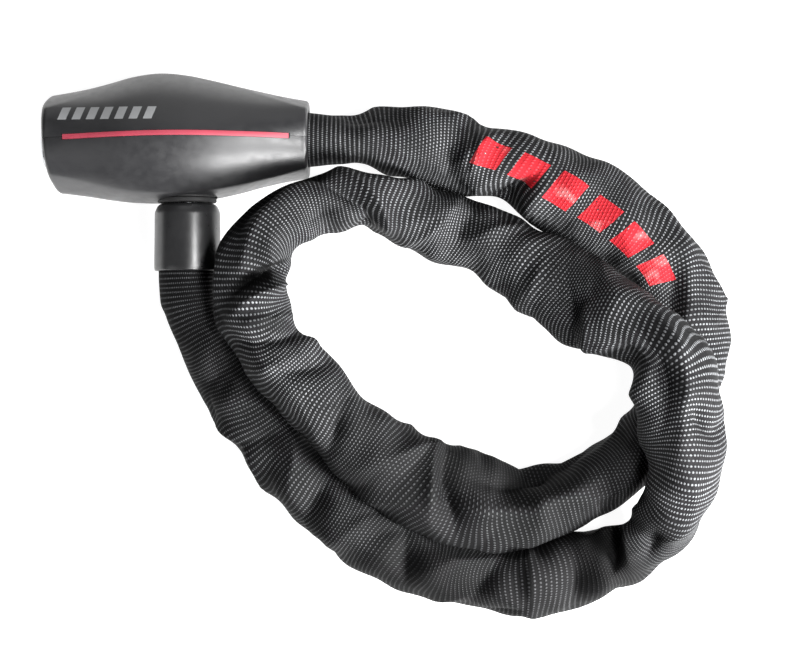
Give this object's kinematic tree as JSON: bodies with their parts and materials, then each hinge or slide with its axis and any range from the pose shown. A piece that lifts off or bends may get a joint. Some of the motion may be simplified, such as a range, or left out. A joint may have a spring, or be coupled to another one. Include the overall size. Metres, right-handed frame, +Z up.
{
  "type": "chain lock",
  "caption": "Bicycle chain lock: plastic-cased key lock body, steel plug and welded chain in a woven fabric sleeve, laid in a loose double loop.",
  "frame": {"origin": "on the lock body's flat back, under the middle of its length and height, which is the surface the lock lies on", "axes": "+X along the body from the keyway end to the end the chain leaves by, +Y across the body away from the plug, +Z up out of the flat back"},
  "size_m": [0.2054, 0.1629, 0.0433],
  "materials": {
    "casing_plastic": "satin moulded plastic",
    "stripe_red": "satin moulded plastic",
    "cap_plastic": "satin moulded plastic",
    "seal_rubber": "matt rubber",
    "zinc_alloy": "as cast zinc alloy",
    "brass": "machined brass",
    "steel": "plain steel",
    "bright_steel": "nickel-plated steel",
    "chain_steel": "zinc-plated hardened steel",
    "woven_fabric": "woven polyester with pale flecks"
  },
  "bodies": {
    "lock_body": {"casing_upper": "casing_plastic", "casing_lower": "casing_plastic", "stripe_inlay": "stripe_red", "lock_housing": "zinc_alloy", "keyway_bezel": "bright_steel", "cylinder_body": "brass", "cylinder_retaining_pin": "steel", "chain_anchor_pin": "steel", "sleeve_ferrule": "steel", "socket_seal": "seal_rubber", "chain_sleeve": "woven_fabric", "chain_link_01": "chain_steel", "chain_link_02": "chain_steel", "chain_link_03": "chain_steel", "chain_link_04": "chain_steel", "chain_link_05": "chain_steel", "chain_link_06": "chain_steel", "chain_link_07": "chain_steel", "chain_link_08": "chain_steel", "chain_link_09": "chain_steel", "chain_link_10": "chain_steel", "chain_link_11": "chain_steel", "chain_link_12": "chain_steel", "chain_link_13": "chain_steel", "chain_link_14": "chain_steel", "chain_link_15": "chain_steel", "chain_link_16": "chain_steel", "chain_link_17": "chain_steel", "chain_link_18": "chain_steel", "chain_link_19": "chain_steel", "chain_link_20": "chain_steel", "chain_link_21": "chain_steel", "chain_link_22": "chain_steel", "chain_link_23": "chain_steel", "chain_link_24": "chain_steel", "chain_link_25": "chain_steel", "chain_link_26": "chain_steel", "chain_link_27": "chain_steel", "chain_link_28": "chain_steel", "chain_link_29": "chain_steel", "chain_link_30": "chain_steel", "chain_link_31": "chain_steel", "chain_link_32": "chain_steel", "chain_link_33": "chain_steel", "chain_link_34": "chain_steel", "chain_link_35": "chain_steel"},
    "key_cylinder": {"cylinder_core": "brass", "cam_driver": "steel", "cylinder_wafer_1": "brass", "cylinder_wafer_2": "brass", "cylinder_wafer_3": "brass", "cylinder_wafer_4": "brass"},
    "latch": {"latch_plate": "steel"},
    "plug": {"plug_bolt": "bright_steel", "plug_cap": "cap_plastic", "plug_link_pin": "steel", "plug_sleeve_clamp": "steel"},
    "end_link": {"chain_link_36": "chain_steel"}
  },
  "joints": [
    {"name": "key_turn", "type": "hinge", "parent": "lock_body", "child": "key_cylinder", "pos_m": [0, 0, 0.015], "axis": [-1, 0, 0], "range_deg": [0, 90]},
    {"name": "latch_throw", "type": "slide", "parent": "lock_body", "child": "latch", "axis": [0, 0, 1], "range_m": [0, 0.0034]},
    {"name": "plug_pull", "type": "slide", "parent": "lock_body", "child": "plug", "axis": [0, -1, 0], "range_m": [0, 0.0093], "deforming": ["chain_sleeve"]},
    {"name": "end_link_slip", "type": "slide", "parent": "lock_body", "child": "end_link", "axis": [0, -1, 0], "range_m": [0, 0.002]}
  ],
  "couplings": [
    {"joint": "latch_throw", "follows": "key_turn", "m_per_rad": 0.00216},
    {"joint": "end_link_slip", "follows": "plug_pull", "ratio": 0.215}
  ]
}
